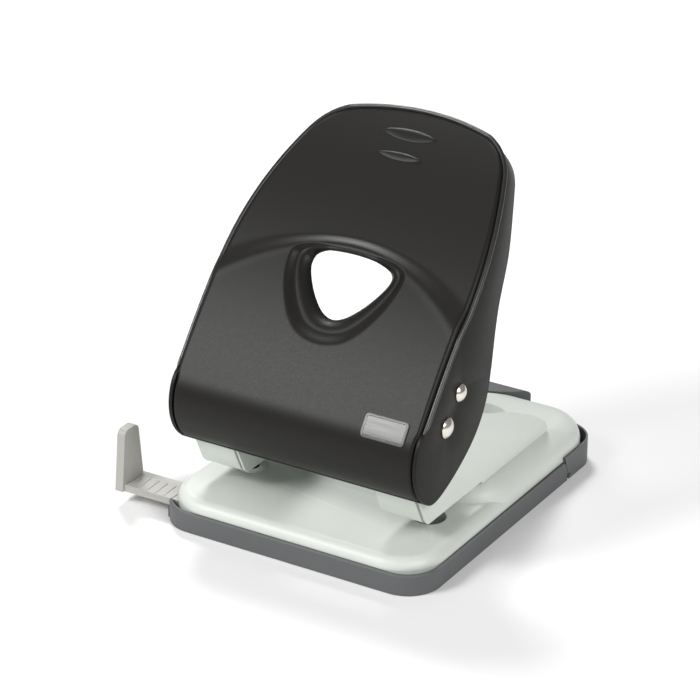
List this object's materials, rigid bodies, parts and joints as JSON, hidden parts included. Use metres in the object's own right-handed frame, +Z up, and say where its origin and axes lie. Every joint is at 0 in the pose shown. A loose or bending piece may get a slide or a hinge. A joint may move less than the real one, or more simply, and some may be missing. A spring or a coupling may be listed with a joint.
{
  "type": "hole punch",
  "caption": "Two-hole desk punch with a pressed steel base, boxed punch heads, a broad sprung handle with a finger window, a sliding paper guide and a chip tray.",
  "frame": {"origin": "middle of the tray's underside, on the surface the punch stands on", "axes": "+Z up; +Y away from the user, who feeds the paper in from -Y; +X to the user's right, so the paper guide sticks out along -X"},
  "size_m": [0.1414, 0.1412, 0.1486],
  "materials": {
    "base_paint": "pale green-grey satin powder coat",
    "tray_plastic": "dark grey fine-grained moulding",
    "guide_plastic": "warm light grey moulding",
    "handle_paint": "satin black lacquer",
    "handle_shell": "satin black lacquer, slightly duller",
    "nickel": "bright nickel",
    "bright_steel": "zinc-plated",
    "tool_steel": "ground and hardened",
    "badge_metal": "satin, blank"
  },
  "bodies": {
    "base": {"base_plate": "base_paint", "chip_tray": "tray_plastic", "flap_hinge_pin": "bright_steel", "left_head": "base_paint", "right_head": "base_paint", "left_die": "tool_steel", "right_die": "tool_steel", "left_lower_guide": "bright_steel", "right_lower_guide": "bright_steel", "left_upper_guide": "bright_steel", "right_upper_guide": "bright_steel", "left_spring": "bright_steel", "right_spring": "bright_steel", "tower_rivets": "nickel", "pivot_spacers": "bright_steel", "pivot_axle": "nickel"},
    "handle": {"handle_frame": "handle_shell", "handle_cover": "handle_paint", "badge_plate": "badge_metal", "press_axle": "nickel"},
    "left_pin": {"left_punch": "tool_steel"},
    "right_pin": {"right_punch": "tool_steel"},
    "guide": {"paper_guide": "guide_plastic"},
    "flap": {"chip_flap": "tray_plastic"}
  },
  "joints": [
    {"name": "handle_pivot", "type": "hinge", "parent": "base", "child": "handle", "pos_m": [0, -0.0445, 0.0595], "axis": [-1, 0, 0], "range_deg": [0, 42], "stiffness_Nm_per_rad": 0.8, "springref_deg": -34.38},
    {"name": "left_punch_slide", "type": "slide", "parent": "base", "child": "left_pin", "axis": [0, 0, -1], "range_m": [0, 0.0092], "deforming": ["left_spring"]},
    {"name": "right_punch_slide", "type": "slide", "parent": "base", "child": "right_pin", "axis": [0, 0, -1], "range_m": [0, 0.0092], "deforming": ["right_spring"]},
    {"name": "paper_guide_slide", "type": "slide", "parent": "base", "child": "guide", "axis": [-1, 0, 0], "range_m": [-0.0187, 0.071]},
    {"name": "chip_flap_hinge", "type": "hinge", "parent": "base", "child": "flap", "pos_m": [0, 0.0449, 0.0017], "axis": [-1, 0, 0], "range_deg": [0, 60]}
  ],
  "couplings": [
    {"joint": "left_punch_slide", "follows": "handle_pivot", "m_per_rad": 0.012278},
    {"joint": "right_punch_slide", "follows": "handle_pivot", "m_per_rad": 0.012278}
  ]
}
